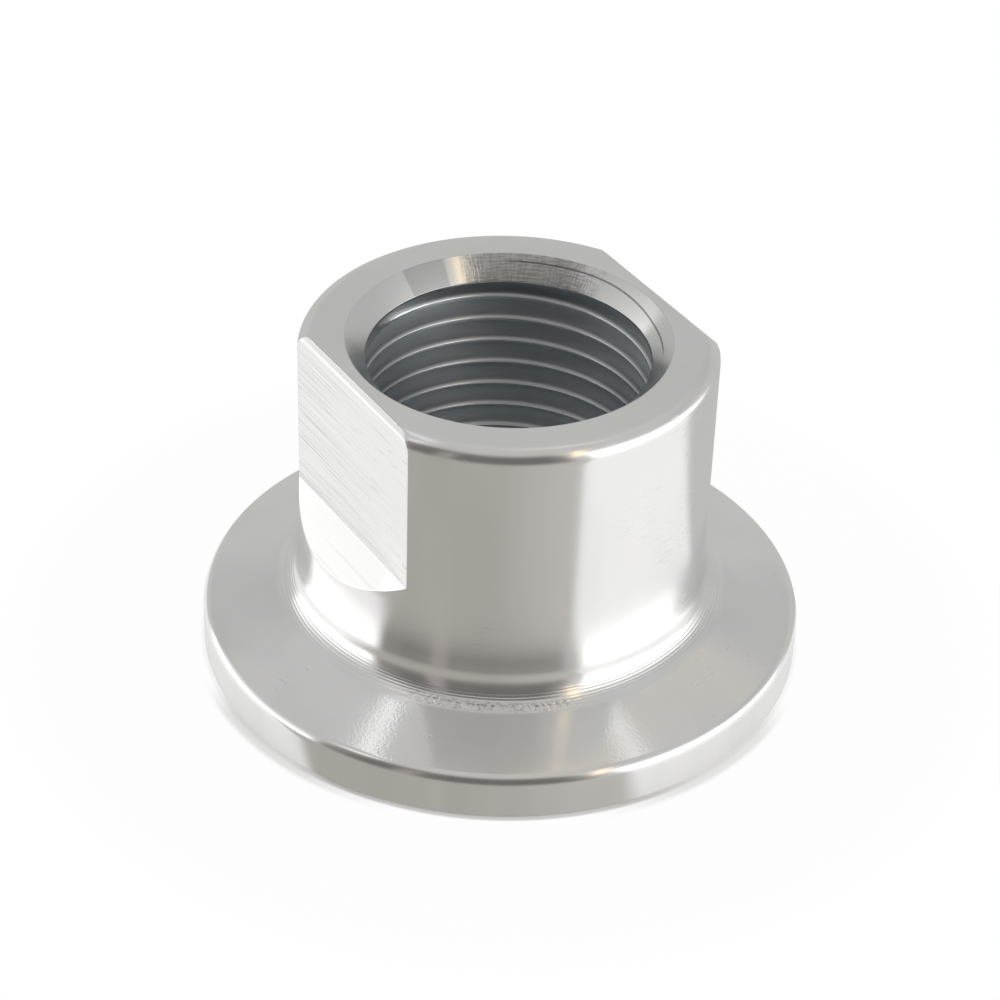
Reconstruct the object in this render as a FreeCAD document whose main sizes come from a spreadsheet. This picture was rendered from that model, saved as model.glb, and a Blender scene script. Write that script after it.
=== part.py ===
import FreeCAD, Part
import math
import os

import Sketcher

# A stainless steel adapter, turned from one bar: a clamp flange at the bottom, a round body with two
# milled wrench flats above it, and a bore for a female half inch pipe thread down the middle.
# The frame's origin is the centre of the sealing face, and +Z runs up the bore to the thread's mouth.

# Driving dimensions
# Lengths in millimetres and angles in degrees, each written once.
SIZES = {
    "total_height": 23.0,
    # clamp flange
    "flange_diameter": 40.0,
    "rim_thickness": 3.0,
    "cone_angle": 15.0,
    "rim_edge_radius": 0.8,
    "face_edge_chamfer": 0.2,
    # body above the flange
    "body_diameter": 27.0,
    "neck_radius": 2.2,
    "top_edge_radius": 1.0,
    # wrench flats
    "across_flats": 23.0,
    "flats_bottom_height": 11.8,
    "run_out_angle": 42.0,
    "flat_top_bevel": 0.35,
    # bore, with its wall at the crests of the thread
    "bore_diameter": 18.3,
    "countersink_diameter": 21.0,
    # recess in the sealing face for the centring ring of the gasket
    "recess_diameter": 26.2,
    "recess_depth": 3.0,
    "recess_mouth_chamfer": 0.3,
    # how far the milling cutter's outline runs past the bar
    "cutter_overrun": 1.0,
}

# Lengths closer than this are the same place, and cuts whose volumes differ by less than this share
# of one cut are equal
SAME_PLACE = 1e-4
EQUAL_SHARE = 0.01

# Numbers that stand for a line's two ends, a point by itself, and a sketch's origin and first axis
LINE_START, LINE_END, POINT = 1, 2, 1
SKETCH_ORIGIN, SKETCH_ACROSS = -1, -1

doc = FreeCAD.newDocument("ThreadedAdapter")
sheet = doc.addObject("Spreadsheet::Sheet", "dims")
for row, (alias, value) in enumerate(SIZES.items(), start=1):
    sheet.set(f"A{row}", alias)
    sheet.set(f"B{row}", str(value))
    sheet.setAlias(f"B{row}", alias)
doc.recompute()


def size(alias):
    """One driving dimension, read back from the sheet."""
    return float(getattr(sheet, alias))


body = doc.addObject("PartDesign::Body", "Adapter")
body.Label = "adapter"


def origin_feature(role):
    """The body's own origin plane or axis of that role."""
    return next(item for item in body.Origin.OriginFeatures if item.Role == role)


def closed_outline(name, plane, points):
    """A sketch on an origin plane, with a closed run of straight lines through the points."""
    sketch = body.newObject("Sketcher::SketchObject", name)
    sketch.AttachmentSupport = [(origin_feature(plane), "")]
    sketch.MapMode = "FlatFace"
    corners = [FreeCAD.Vector(first, second, 0) for first, second in points]
    count = len(corners)
    for index in range(count):
        sketch.addGeometry(Part.LineSegment(corners[index], corners[(index + 1) % count]), False)
    for index in range(count):
        following = (index + 1) % count
        sketch.addConstraint(Sketcher.Constraint("Coincident", index, LINE_END, following, LINE_START))
    return sketch


def bind(sketch, constraint, name, expression):
    """Adds a constraint with a name, and ties its value to the sheet."""
    index = sketch.addConstraint(constraint)
    sketch.renameConstraint(index, name)
    sketch.setExpression(f"Constraints.{name}", expression)


def drive(sketch, name, direction, item, end, value, expression):
    """Holds an end of a line, or a point, at a distance from the sketch's origin, tied to the sheet."""
    bind(sketch, Sketcher.Constraint(direction, SKETCH_ORIGIN, POINT, item, end, value), name, expression)


def rounded_corner(sketch, line, radius_alias):
    """Rounds the corner at a line's end with a tangent arc, and returns the point of the sharp corner."""
    arc = sketch.GeometryCount
    sharp_corner = arc + 1
    sketch.fillet(line, LINE_END, size(radius_alias), True, True)
    bind(sketch, Sketcher.Constraint("Radius", arc, size(radius_alias)), radius_alias, f"dims.{radius_alias}")
    return sharp_corner


def circle_edges(feature, radius, height):
    """Names of the feature's full circles of one radius at one height."""
    names = []
    for index, edge in enumerate(feature.Shape.Edges, start=1):
        curve = edge.Curve
        if not isinstance(curve, Part.Circle):
            continue
        if abs(curve.Radius - radius) < SAME_PLACE and abs(curve.Center.z - height) < SAME_PLACE:
            names.append(f"Edge{index}")
    return names


def edge_feature(kind, name, base, edges, value_name, expression):
    """A fillet or chamfer on edges of the base feature, its size tied to the sheet."""
    if not edges:
        raise RuntimeError(f"{name} found no edge to work on")
    feature = body.newObject(kind, name)
    feature.Base = (base, edges)
    feature.setExpression(value_name, expression)
    doc.recompute()
    return feature


# Turned profile
# Half of the section, in the XZ plane: the sketch's first axis is the radius and its second the height.
# The rim's top edge and the neck between cone and body are arcs in it.
flange_r = size("flange_diameter") / 2
body_r = size("body_diameter") / 2
bore_r = size("bore_diameter") / 2
recess_r = size("recess_diameter") / 2
top = size("total_height")
rim_top = size("rim_thickness")
recess_floor = size("recess_depth")
neck_height = rim_top + (flange_r - body_r) * math.tan(math.radians(size("cone_angle")))

profile = closed_outline(
    "turned_profile",
    "XZ_Plane",
    [
        (recess_r, 0),
        (flange_r, 0),
        (flange_r, rim_top),
        (body_r, neck_height),
        (body_r, top),
        (bore_r, top),
        (bore_r, recess_floor),
        (recess_r, recess_floor),
    ],
)
SEALING_FACE, RIM_WALL, CONE, BODY_WALL, TOP_FACE, BORE_WALL, RECESS_FLOOR, RECESS_WALL = range(8)
rim_corner = rounded_corner(profile, RIM_WALL, "rim_edge_radius")
neck_corner = rounded_corner(profile, CONE, "neck_radius")
for line in (SEALING_FACE, TOP_FACE, RECESS_FLOOR):
    profile.addConstraint(Sketcher.Constraint("Horizontal", line))
for line in (RIM_WALL, BODY_WALL, BORE_WALL, RECESS_WALL):
    profile.addConstraint(Sketcher.Constraint("Vertical", line))
profile.addConstraint(Sketcher.Constraint("PointOnObject", SEALING_FACE, LINE_START, SKETCH_ACROSS))

across, up = "DistanceX", "DistanceY"
drive(profile, "flange_radius", across, RIM_WALL, LINE_START, flange_r, "dims.flange_diameter / 2")
drive(profile, "body_radius", across, BODY_WALL, LINE_END, body_r, "dims.body_diameter / 2")
drive(profile, "bore_radius", across, BORE_WALL, LINE_START, bore_r, "dims.bore_diameter / 2")
drive(profile, "recess_radius", across, RECESS_WALL, LINE_END, recess_r, "dims.recess_diameter / 2")
drive(profile, "rim_top", up, rim_corner, POINT, rim_top, "dims.rim_thickness")
drive(profile, "top", up, TOP_FACE, LINE_START, top, "dims.total_height")
drive(profile, "recess_floor", up, RECESS_FLOOR, LINE_START, recess_floor, "dims.recess_depth")
drive(
    profile,
    "neck_height",
    up,
    neck_corner,
    POINT,
    neck_height,
    "dims.rim_thickness + (dims.flange_diameter - dims.body_diameter) / 2 * tan(dims.cone_angle * 1 deg)",
)

turned = body.newObject("PartDesign::Revolution", "turned_body")
turned.Profile = profile
turned.ReferenceAxis = (profile, ["V_Axis"])
turned.Angle = 360.0
doc.recompute()

# Edges broken on the lathe
countersink = edge_feature(
    "PartDesign::Chamfer",
    "thread_countersinks",
    turned,
    circle_edges(turned, bore_r, top) + circle_edges(turned, bore_r, recess_floor),
    "Size",
    "(dims.countersink_diameter - dims.bore_diameter) / 2",
)
rounded_top = edge_feature(
    "PartDesign::Fillet",
    "top_edge",
    countersink,
    circle_edges(countersink, body_r, top),
    "Radius",
    "dims.top_edge_radius",
)
face_edge = edge_feature(
    "PartDesign::Chamfer",
    "face_edge",
    rounded_top,
    circle_edges(rounded_top, flange_r, 0),
    "Size",
    "dims.face_edge_chamfer",
)
recess_mouth = edge_feature(
    "PartDesign::Chamfer",
    "recess_mouth",
    face_edge,
    circle_edges(face_edge, recess_r, 0),
    "Size",
    "dims.recess_mouth_chamfer",
)

# Wrench flats
# The cutter's outline is drawn in the YZ plane, on the -Y side. Going down the flat it has the bevel at
# the top, the flat itself, and the sloped run-out that leaves the bar's round surface.
flat_y = size("across_flats") / 2
flat_bottom = size("flats_bottom_height")
overrun = size("cutter_overrun")
bevel = size("flat_top_bevel")
outer_y = body_r + overrun
run_out_bottom = flat_bottom - (outer_y - flat_y) / math.tan(math.radians(size("run_out_angle")))

cutter = closed_outline(
    "flat_cutter",
    "YZ_Plane",
    [
        (-flat_y, top - bevel),
        (-flat_y, flat_bottom),
        (-outer_y, run_out_bottom),
        (-outer_y, top + overrun),
        (-flat_y + bevel + overrun, top + overrun),
    ],
)
FLAT, RUN_OUT, OUTSIDE, ABOVE, BEVEL = range(5)
cutter.addConstraint(Sketcher.Constraint("Vertical", FLAT))
cutter.addConstraint(Sketcher.Constraint("Vertical", OUTSIDE))
cutter.addConstraint(Sketcher.Constraint("Horizontal", ABOVE))
drive(cutter, "flat_place", across, FLAT, LINE_START, -flat_y, "-dims.across_flats / 2")
drive(
    cutter,
    "outside_place",
    across,
    OUTSIDE,
    LINE_START,
    -outer_y,
    "-dims.body_diameter / 2 - dims.cutter_overrun",
)
drive(
    cutter,
    "bevel_place",
    across,
    BEVEL,
    LINE_START,
    -flat_y + bevel + overrun,
    "-dims.across_flats / 2 + dims.flat_top_bevel + dims.cutter_overrun",
)
drive(cutter, "flat_top", up, FLAT, LINE_START, top - bevel, "dims.total_height - dims.flat_top_bevel")
drive(cutter, "flat_bottom", up, FLAT, LINE_END, flat_bottom, "dims.flats_bottom_height")
drive(
    cutter,
    "run_out_bottom",
    up,
    RUN_OUT,
    LINE_END,
    run_out_bottom,
    "dims.flats_bottom_height - ((dims.body_diameter - dims.across_flats) / 2 + dims.cutter_overrun)"
    " / tan(dims.run_out_angle * 1 deg)",
)
drive(cutter, "above_place", up, ABOVE, LINE_START, top + overrun, "dims.total_height + dims.cutter_overrun")

first_flat = body.newObject("PartDesign::Pocket", "first_flat")
first_flat.Profile = cutter
first_flat.SideType = "Symmetric"
first_flat.Type = "Length"
first_flat.setExpression("Length", "dims.body_diameter")
doc.recompute()

both_flats = body.newObject("PartDesign::Mirrored", "both_flats")
both_flats.Originals = [first_flat]
both_flats.MirrorPlane = (origin_feature("XZ_Plane"), [""])
body.Tip = both_flats
doc.recompute()

# Nothing may have failed, and each milled flat has to have taken metal away
for item in doc.Objects:
    if "Invalid" in item.State or "Error" in item.State:
        raise RuntimeError(f"{item.Label} failed: {item.State}")
if body.Shape.isNull() or not body.Shape.isValid() or len(body.Shape.Solids) != 1:
    raise RuntimeError(f"{body.Label} is not one valid solid")
before, one, two = (item.Shape.Volume for item in (recess_mouth, first_flat, both_flats))
if one >= before or abs((before - one) - (one - two)) > EQUAL_SHARE * (before - one):
    raise RuntimeError("the two flats did not take away equal metal")

os.makedirs("parts", exist_ok=True)
body.Shape.exportStep(f"parts/{body.Label}.step")
box = body.Shape.optimalBoundingBox()
print(f"{body.Label}: {box.XLength:.2f} x {box.YLength:.2f} x {box.ZLength:.2f} mm")
print(f"volume {body.Shape.Volume:.0f} mm3, faces {len(body.Shape.Faces)}")
print(f"each flat takes away {before - one:.1f} mm3")
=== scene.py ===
# %% [markdown]
# # A clamp flange adapter with a pipe thread
#
# The real part is one piece of stainless steel. It is turned from a bar: a flat clamp flange with a coned
# back, a round neck and body above it, and a threaded bore right through. Then two wrench flats are
# milled on the body. Everything that the eye meets is bare metal, so the looks come from three things:
# the exact shape, the fine marks that each tool left, and what stands around the part to be mirrored.
#
# The CAD model has the right sizes but a plain bore. Here the whole skin is made again as one surface,
# with the real thread, small edge breaks and a finish for each cut, inside the same box.

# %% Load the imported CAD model
import math

import bpy
import numpy as np
from mathutils import Matrix, Vector


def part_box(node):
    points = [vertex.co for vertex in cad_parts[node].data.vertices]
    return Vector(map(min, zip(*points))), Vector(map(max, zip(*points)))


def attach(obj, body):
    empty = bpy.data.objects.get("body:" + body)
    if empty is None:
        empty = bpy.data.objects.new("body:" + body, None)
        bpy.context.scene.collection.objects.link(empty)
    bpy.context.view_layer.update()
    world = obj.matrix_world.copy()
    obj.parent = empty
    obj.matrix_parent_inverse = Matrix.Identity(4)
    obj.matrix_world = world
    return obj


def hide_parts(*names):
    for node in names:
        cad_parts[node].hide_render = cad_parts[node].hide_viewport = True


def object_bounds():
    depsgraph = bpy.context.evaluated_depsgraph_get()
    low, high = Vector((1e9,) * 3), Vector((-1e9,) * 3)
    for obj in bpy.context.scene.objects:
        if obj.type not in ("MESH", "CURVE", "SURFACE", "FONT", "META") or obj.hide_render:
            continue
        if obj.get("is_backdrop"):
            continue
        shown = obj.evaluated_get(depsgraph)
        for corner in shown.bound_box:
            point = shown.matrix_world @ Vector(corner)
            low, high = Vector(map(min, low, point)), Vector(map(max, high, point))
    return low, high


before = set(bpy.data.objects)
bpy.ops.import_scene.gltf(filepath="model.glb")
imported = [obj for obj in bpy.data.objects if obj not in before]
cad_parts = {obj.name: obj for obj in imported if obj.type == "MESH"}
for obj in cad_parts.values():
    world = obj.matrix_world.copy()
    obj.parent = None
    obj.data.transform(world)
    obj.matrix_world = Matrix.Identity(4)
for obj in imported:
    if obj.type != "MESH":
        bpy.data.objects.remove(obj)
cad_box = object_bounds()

MM = 0.001
low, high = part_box("adapter")
print("adapter in the CAD model, mm:", [round(side / MM, 2) for side in (high - low)])

# %% [markdown]
# ## Camera
#
# A photograph of a shiny part is mostly a picture of its angles, so the camera comes first. It stands
# about 20 cm away with a long lens, looks down at 35 degrees and leans by 2 degrees. The heading is
# counted from +X, so the near wrench flat shows on the left. PICTURE_RIGHT is the angle on the part that
# faces right in the picture. The thread's first crest and the room are both placed from it.

# %% Place the camera
CAMERA_PLACE = (131.18, -83.86, 119.97)
HEADING = 147.50
LOOK_DOWN = 35.17
LEAN = -1.95
PICTURE_RIGHT = 57.41
SENSOR_WIDTH = 36.0
LENS = 103.7
NEAREST_SEEN = 0.01


def turned_camera(heading, down, lean):
    """Camera axes: forward from heading and downward angle, right across it, both turned by the lean."""
    flat_forward = Vector((math.cos(heading), math.sin(heading), 0))
    forward = flat_forward * math.cos(down) - Vector((0, 0, math.sin(down)))
    level_right = Vector((math.sin(heading), -math.cos(heading), 0))
    level_up = level_right.cross(forward)
    right = level_right * math.cos(lean) - level_up * math.sin(lean)
    up = level_up * math.cos(lean) + level_right * math.sin(lean)
    return Matrix((right, up, -forward)).transposed().to_4x4()


camera_data = bpy.data.cameras.new("camera")
camera_data.sensor_width = SENSOR_WIDTH
camera_data.lens = LENS
camera_data.clip_start = NEAREST_SEEN
camera = bpy.data.objects.new("camera", camera_data)
camera.matrix_world = Matrix.Translation(Vector(CAMERA_PLACE) * MM) @ turned_camera(
    math.radians(HEADING), math.radians(LOOK_DOWN), math.radians(LEAN)
)
bpy.context.scene.collection.objects.link(camera)
bpy.context.scene.camera = camera
print("camera distance, mm:", round(Vector(CAMERA_PLACE).length, 1))

# %% [markdown]
# ## The sizes
#
# They are the CAD model's sizes, in millimetres. Heights are measured from the sealing face. A turned part
# is a profile of radius and height carried round the axis, so nearly every size here is one of those two.

# %% Sizes of the turned part
TOP = 23.0
FLANGE_R = 20.0
RIM_TOP = 3.0
RIM_ROUND = 0.8
BODY_R = 13.5
CONE_ANGLE = 15
NECK_HEIGHT = RIM_TOP + (FLANGE_R - BODY_R) * math.tan(math.radians(CONE_ANGLE))
NECK_ROUND = 2.2
TOP_ROUND = 1.0
BORE_R = 9.15
SINK_R = 10.47
LIP_R = 9.20
LIP_HEIGHT = 21.64
LIP_LAND = 21.55
RECESS_R = 13.1
RECESS_FLOOR = 3.0
LOWER_SINK_R = 10.5
print("the cone's line reaches the body at a height of, mm:", round(NECK_HEIGHT, 3))

# %% Sizes of the corners
EDGE_BREAK = 0.05
FACE_CHAMFER = 0.2
RECESS_CORNER = 0.2
RECESS_CHAMFER = 0.3
SINK_BREAK = 0.04
LIP_BREAK = 0.03
ARC_STEP = 12
HAIR = 1e-6
print("an arc has at least one step for each", ARC_STEP, "degrees")

# %% Sizes of the wrench flats
FLAT = 11.5
FLAT_BOTTOM = 11.8
RUN_OUT = math.tan(math.radians(42))
BEVEL_BOTTOM = 22.65
FLAT_HALF_ANGLE = math.degrees(math.acos(FLAT / BODY_R))
print("each flat takes up", round(2 * FLAT_HALF_ANGLE, 1), "degrees of the body")

# %% [markdown]
# ## The grid of the skin
#
# The skin closes on itself both ways: round the axis, and along the profile, which goes out under the
# flange, up the outside, in over the top and down through the bore. So it is one grid of rows and
# columns. Columns are counted in four stretches, two across the flats and two over the round sides, and
# each stretch widens or narrows with the row. That way a column runs exactly down each edge of a flat.

# %% Columns of the grid
FULL_TURN = 360
FLAT_STEPS = 40
ROUND_STEPS = 80
EVEN_HALF_ANGLE = 180 * FLAT_STEPS / (2 * (FLAT_STEPS + ROUND_STEPS))

stretches = [(-90, FLAT_STEPS), (0, ROUND_STEPS), (90, FLAT_STEPS), (180, ROUND_STEPS)]
centre = np.concatenate([np.full(steps, angle) for angle, steps in stretches] + [[180]]).astype(float)
spread = np.concatenate([np.linspace(-1, 1, steps, endpoint=False) for _, steps in stretches] + [[1]])
on_flat = np.concatenate([np.full(steps, steps == FLAT_STEPS) for _, steps in stretches] + [[False]])
edge_columns = np.cumsum([0] + [steps for _, steps in stretches])
across_flat = on_flat.copy()
across_flat[edge_columns] = True
COLUMNS = len(centre)


def column_angles(half_angle):
    """Angle of each column on each row: a stretch's centre plus its spread times its half width."""
    half = np.asarray(half_angle, float)[:, None]
    return centre + spread * np.where(on_flat, half, 90 - half)


def flat_angles(half_angle):
    """Angle away from the middle of the flat, on the columns that cross one, and nought elsewhere."""
    angle = column_angles(half_angle)
    return np.where(across_flat, np.radians(np.abs(angle % 180 - 90)), 0)


print("columns:", COLUMNS - 1, "and even at a half angle of", EVEN_HALF_ANGLE)

# %% [markdown]
# ## Profiles with small edge breaks
#
# No edge on a turned part is truly sharp, and the thin bright or dark line where it is broken is what
# makes it look like metal. So each corner of a profile gets a small arc. The arc touches both lines, and
# its points are spaced by the angle that the profile turns through.

# %% Rounded profile
def rounded_profile(corners):
    """Points along a profile. A corner (radius, height, round) becomes an arc that touches both its lines:
    it starts at round times the tangent of half the turn before the corner, and ends as far after it."""
    points = [np.array([corners[0][:2]], float)]
    for before, here, after in zip(corners, corners[1:], corners[2:]):
        place = np.array(here[:2], float)
        way_in = place - before[:2]
        way_out = np.array(after[:2], float) - place
        way_in /= np.linalg.norm(way_in)
        way_out /= np.linalg.norm(way_out)
        turn = math.atan2(way_in[0] * way_out[1] - way_in[1] * way_out[0], way_in @ way_out)
        steps = max(2, math.ceil(abs(turn) / math.radians(ARC_STEP)))
        share = np.linspace(0, turn, steps + 1)[:, None]
        side = math.copysign(1, turn) * np.array([-way_in[1], way_in[0]])
        start = place - way_in * here[2] * math.tan(abs(turn) / 2)
        points.append(start + here[2] * (np.sin(abs(share)) * way_in + (1 - np.cos(share)) * side))
    points.append(np.array([corners[-1][:2]], float))
    return np.vstack(points)


UNDERSIDE = rounded_profile(
    [
        (LOWER_SINK_R, RECESS_FLOOR, 0),
        (RECESS_R, RECESS_FLOOR, RECESS_CORNER),
        (RECESS_R, RECESS_CHAMFER, EDGE_BREAK),
        (RECESS_R + RECESS_CHAMFER, 0, EDGE_BREAK),
        (FLANGE_R - FACE_CHAMFER, 0, EDGE_BREAK),
        (FLANGE_R, FACE_CHAMFER, EDGE_BREAK),
        (FLANGE_R, RIM_TOP, RIM_ROUND),
        (BODY_R, NECK_HEIGHT, NECK_ROUND),
        (BODY_R, FLAT_BOTTOM, 0),
    ]
)[:-1]
print("points along the underside, rim, cone and neck:", len(UNDERSIDE))

# %% [markdown]
# ## Bands of the skin
#
# A band is a set of rows with three numbers for every column: radius, height and angle. Most bands are
# plain turning. The body needs two more: a band that rises to the curved lower end of the flat's
# run-out, and one over the flat itself, where the radius is cut back to the flat wherever it would
# stand proud of it.

# %% Plain turned band
bands = []


def add_band(name, radius, height, angle):
    """Keeps a band's radius, height and angle, each spread to rows by columns."""
    shape = (len(angle), COLUMNS)
    bands.append((name, *(np.broadcast_to(part, shape) for part in (radius, height, angle))))


def turned_band(name, profile, half_angle):
    """A band whose radius and height are the profile's, the same at every angle."""
    angle = column_angles(np.full(len(profile), half_angle))
    add_band(name, profile[:, :1], profile[:, 1:], angle)


def rows_between(name, first, last):
    """The stretch of the underside profile from one row to another."""
    turned_band(name, UNDERSIDE[first:last], FLAT_HALF_ANGLE)


ABOVE_RIM = 0.05
radii, heights = UNDERSIDE.T
on_back = heights > RIM_TOP + ABOVE_RIM
neck_reach = NECK_ROUND * math.tan(math.radians((90 - CONE_ANGLE) / 2)) * math.cos(math.radians(CONE_ANGLE))
rim_start = int(np.argmax(radii > FLANGE_R - HAIR))
cone_start = int(np.argmax(on_back))
neck_start = int(np.argmax(on_back & (radii < BODY_R + neck_reach + HAIR)))
rows_between("underside", 0, rim_start)
rows_between("rim", rim_start, cone_start)
rows_between("cone", cone_start, neck_start + 1)
rows_between("neck", neck_start + 1, len(UNDERSIDE))
print("cone meets the neck at radius and height:", UNDERSIDE[neck_start].round(3))

# %% Body up to the run-out of the flats
def run_out_edge(angle):
    """Height where the sloped run-out leaves the round body: the flat's bottom, less the depth of the cut
    at that angle divided by the slope. Outside the flats it is the flat's bottom."""
    depth = np.where(across_flat, BODY_R * np.cos(angle) - FLAT, 0)
    return FLAT_BOTTOM - np.maximum(depth, 0) / RUN_OUT


BODY_ROWS = 7
rise = np.linspace(0, 1, BODY_ROWS + 1)[1:, None]
body_half = np.full(len(rise), FLAT_HALF_ANGLE)
body_start = UNDERSIDE[-1][1]
body_end = run_out_edge(flat_angles(body_half))
add_band("body", BODY_R, body_start + rise * (body_end - body_start), column_angles(body_half))
print("the run-outs reach down to, mm:", body_end.min().round(2))

# %% Flats, bevels and the rounded top edge
FLAT_ROWS = 6
bevel_turn = math.degrees(math.asin((BEVEL_BOTTOM - TOP + TOP_ROUND) / TOP_ROUND))
turns = np.radians([0, 10, 20, 30, bevel_turn, 50, 60, 70, 80, 90])
straight_height = np.linspace(FLAT_BOTTOM, TOP - TOP_ROUND, FLAT_ROWS + 1)[:-1]
flat_height = np.concatenate([straight_height, TOP - TOP_ROUND * (1 - np.sin(turns))])
round_radius = np.concatenate([np.full(FLAT_ROWS, BODY_R), BODY_R - TOP_ROUND * (1 - np.cos(turns))])
flat_depth = FLAT - np.maximum(flat_height - BEVEL_BOTTOM, 0)
flat_half = np.degrees(np.arccos(flat_depth / round_radius))
cut_radius = np.where(
    across_flat,
    np.minimum(round_radius[:, None], flat_depth[:, None] / np.cos(flat_angles(flat_half))),
    round_radius[:, None],
)
add_band("flats", cut_radius, flat_height[:, None], column_angles(flat_half))
print("the flat's edge narrows from", flat_half[0].round(2), "to", flat_half[-1].round(2), "degrees")

# %% Top face and countersink
FACE_ROWS = 5
inward = np.linspace(0, 1, FACE_ROWS + 1)[1:, None]
face_half = flat_half[-1] + (EVEN_HALF_ANGLE - flat_half[-1]) * inward[:, 0]
add_band(
    "face",
    cut_radius[-1] + inward * (SINK_R + EDGE_BREAK - cut_radius[-1]),
    TOP,
    column_angles(face_half),
)
MOUTH = rounded_profile(
    [
        (BODY_R, TOP, 0),
        (SINK_R, TOP, SINK_BREAK),
        (LIP_R, LIP_HEIGHT, LIP_BREAK),
        (BORE_R, LIP_LAND, 0),
    ]
)[1:]
turned_band("countersink", MOUTH, EVEN_HALF_ANGLE)
print("points down the countersink:", len(MOUTH))

# %% [markdown]
# ## The thread
#
# The thread is a helix: its height rises by one pitch for each turn. Rows of the grid follow that helix,
# so a crest is a row and never a staircase. Rows are clipped to the band's two ends, where they fall
# together and are merged. The form is a 60 degree V with narrow crests and roots, both softly rounded, and
# the rounding leaves the crests a little short of the bored wall. The first groove isn't there at once: it
# deepens over a sixth of a turn, and it stays below the lip of the countersink. At the lower end the
# countersink cuts the thread off.

# %% Thread form
PITCH = 1.715
CREST_HEIGHT = 19.98
CREST_HALF = 0.03
ROOT_HALF = 0.04
FLANK_SLOPE = math.tan(math.radians(30))
THREAD_DEPTH = (PITCH / 2 - CREST_HALF - ROOT_HALF) / FLANK_SLOPE
GROOVE_START = 172
GROOVE_FADE = 62
SOFTNESS = 0.13
CREST_SEEN = 0.14

HALF_PHASES = [0, 0.03, 0.06, 0.09, 0.13, 0.2, 0.32, 0.42, 0.46, 0.485]
phases = np.array(HALF_PHASES + [0.5] + [1 - phase for phase in HALF_PHASES[:0:-1]])
print("thread depth, mm:", round(THREAD_DEPTH, 3), "and rows in a pitch:", len(phases))


def groove_depth(phase):
    """Depth beyond the bored wall. Phase is 0 on a crest and a half in a root. Between, the share x down
    the flank is clamped to 0 and 1 softly, with a softness s: it becomes half of one plus the root of
    (x squared + s squared) less the root of (x - 1 squared + s squared)."""
    from_crest = np.abs(phase - np.round(phase)) * PITCH
    share = (from_crest - CREST_HALF) / (THREAD_DEPTH * FLANK_SLOPE)
    soft = np.sqrt(share**2 + SOFTNESS**2) - np.sqrt((share - 1) ** 2 + SOFTNESS**2) + 1
    return THREAD_DEPTH * soft / 2


def lead_in(turns_down, angle):
    """Share of the full depth. The groove above the first crest grows from nothing over GROOVE_FADE
    degrees, as three times the share squared less twice its cube, and nothing is cut above it."""
    share = np.clip((GROOVE_START - angle) / GROOVE_FADE, 0, 1)
    growing = share * share * (3 - 2 * share)
    return np.where(turns_down > 0, 1, np.where(turns_down > -1, growing, 0))


# %% Thread band
TURNS = range(-2, 11)
thread_angle = column_angles(np.full(len(TURNS) * len(phases), EVEN_HALF_ANGLE))
around = thread_angle - PICTURE_RIGHT
row_phase = np.concatenate([turn + phases for turn in TURNS])[:, None]
thread_height = CREST_HEIGHT + PITCH * (around / FULL_TURN - row_phase)
thread_height = np.clip(thread_height, RECESS_FLOOR, LIP_LAND)
turns_down = around / FULL_TURN - (thread_height - CREST_HEIGHT) / PITCH
thread_radius = BORE_R + groove_depth(turns_down) * lead_in(turns_down, around)
thread_radius = np.maximum(thread_radius, LOWER_SINK_R + RECESS_FLOOR - thread_height)
add_band("thread", thread_radius, thread_height, thread_angle)
print("thread rows:", len(row_phase))
print("crests stand short of the bored wall by, mm:", round(float(groove_depth(0)), 3))

# %% [markdown]
# ## One closed mesh
#
# The bands are stacked and every grid cell becomes a face. Where rows fall together, as at the corners
# of the run-out or the ends of the thread, equal points are found by rounding to a thousandth of a
# millimetre and given one number. Cells that keep four different corners are quads, three make a
# triangle, and the rest are dropped. Each face takes its finish from its band, on the flats from its
# column as well, and in the thread from its radius: close to the bored wall it is a crest. The UV map holds
# the angle and the distance along the profile, both brought down to about one.

# %% Stack the bands
radius, height, angle = (np.vstack([band[part] for band in bands]) for part in (1, 2, 3))
turn = np.radians(angle)
grid = np.stack([radius * np.cos(turn), radius * np.sin(turn), height], axis=-1)
first_row = dict(zip([band[0] for band in bands], np.cumsum([0] + [len(band[1]) for band in bands])))
along = np.zeros_like(radius)
along[1:] = np.cumsum(np.linalg.norm(np.diff(grid, axis=0), axis=-1), axis=0)
print("grid:", grid.shape[0], "rows by", grid.shape[1], "columns, bands start at", first_row)

# %% Merge equal points and make the faces
STEPS_IN_MM = 1000
keys = np.round(grid.reshape(-1, 3) * STEPS_IN_MM).astype(np.int64)
_, kept, merged = np.unique(keys, axis=0, return_index=True, return_inverse=True)
merged = merged.reshape(grid.shape[:2])
ROWS = grid.shape[0]
row, column = np.meshgrid(np.arange(ROWS), np.arange(COLUMNS - 1), indexing="ij")
row, column = row.ravel(), column.ravel()
after = (row + 1) % ROWS
corner_rows = np.stack([row, row, after, after], axis=1)
corner_columns = np.stack([column, column + 1, column + 1, column], axis=1)
corners = merged[corner_rows, corner_columns]
new_corner = corners != np.roll(corners, 1, axis=1)
sides = new_corner.sum(axis=1)
opposite = (corners[:, 0] == corners[:, 2]) | (corners[:, 1] == corners[:, 3])
real_face = (sides >= 3) & ~opposite
print("faces kept:", real_face.sum(), "of", len(corners), "and triangles among them:", (sides == 3).sum())

# %% Finish of each face
FINISHES = ["turned", "neck", "coned", "faced", "rim", "milled", "run_out", "sunk", "tapped", "bored"]
BAND_FINISH = {
    "underside": "coned",
    "rim": "rim",
    "cone": "coned",
    "neck": "neck",
    "body": "turned",
    "flats": "turned",
    "face": "faced",
    "countersink": "sunk",
    "thread": "tapped",
}
row_finish = np.concatenate(
    [np.full(len(band[1]), FINISHES.index(BAND_FINISH[band[0]])) for band in bands]
)
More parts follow.
